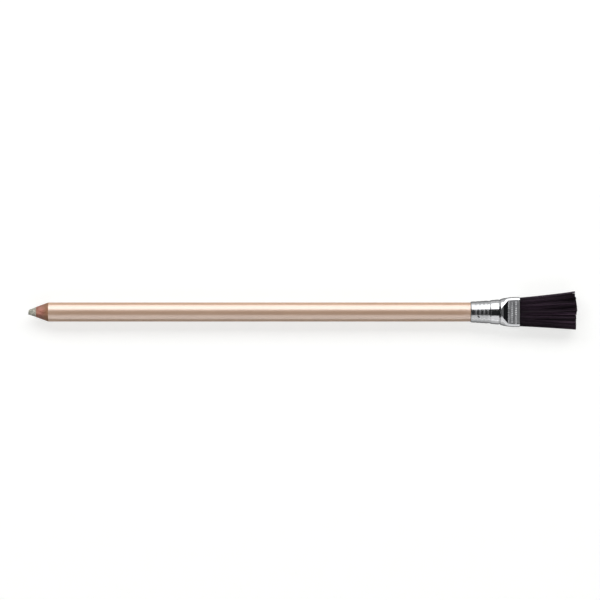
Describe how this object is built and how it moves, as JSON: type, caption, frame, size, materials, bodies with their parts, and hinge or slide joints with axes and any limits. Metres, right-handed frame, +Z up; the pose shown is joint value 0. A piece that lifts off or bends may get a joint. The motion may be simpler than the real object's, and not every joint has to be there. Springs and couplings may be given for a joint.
{
  "type": "typewriter eraser",
  "caption": "Round wood-cased eraser pencil with a blunt abrasive rubber tip and, in a pressed metal ferrule, a flat fanned brush that sweeps away the crumbs.",
  "frame": {"origin": "on the pencil's axis, half way along the bare lacquered grip", "axes": "+X along the axis from the eraser tip to the brush, +Y across the width of the brush, +Z up, square to the flat of the brush"},
  "size_m": [0.215, 0.0148, 0.0098],
  "materials": {
    "eraser_rubber": "matte, gritty",
    "cedar": "bare, freshly sharpened",
    "wood_glue": "set glue film",
    "pearl_lacquer": "satin pearl",
    "bright_plate": "bright plated",
    "ferrule_glue": "set glue",
    "setting_resin": "set resin",
    "black_bristle": "satin"
  },
  "bodies": {
    "root": {"eraser_core": "eraser_rubber", "upper_slat": "cedar", "lower_slat": "cedar", "slat_glue": "wood_glue", "lacquer_coat": "pearl_lacquer", "ferrule": "bright_plate", "ferrule_adhesive": "ferrule_glue", "resin_plug": "setting_resin", "bristle_tuft": "black_bristle"}
  },
  "joints": []
}
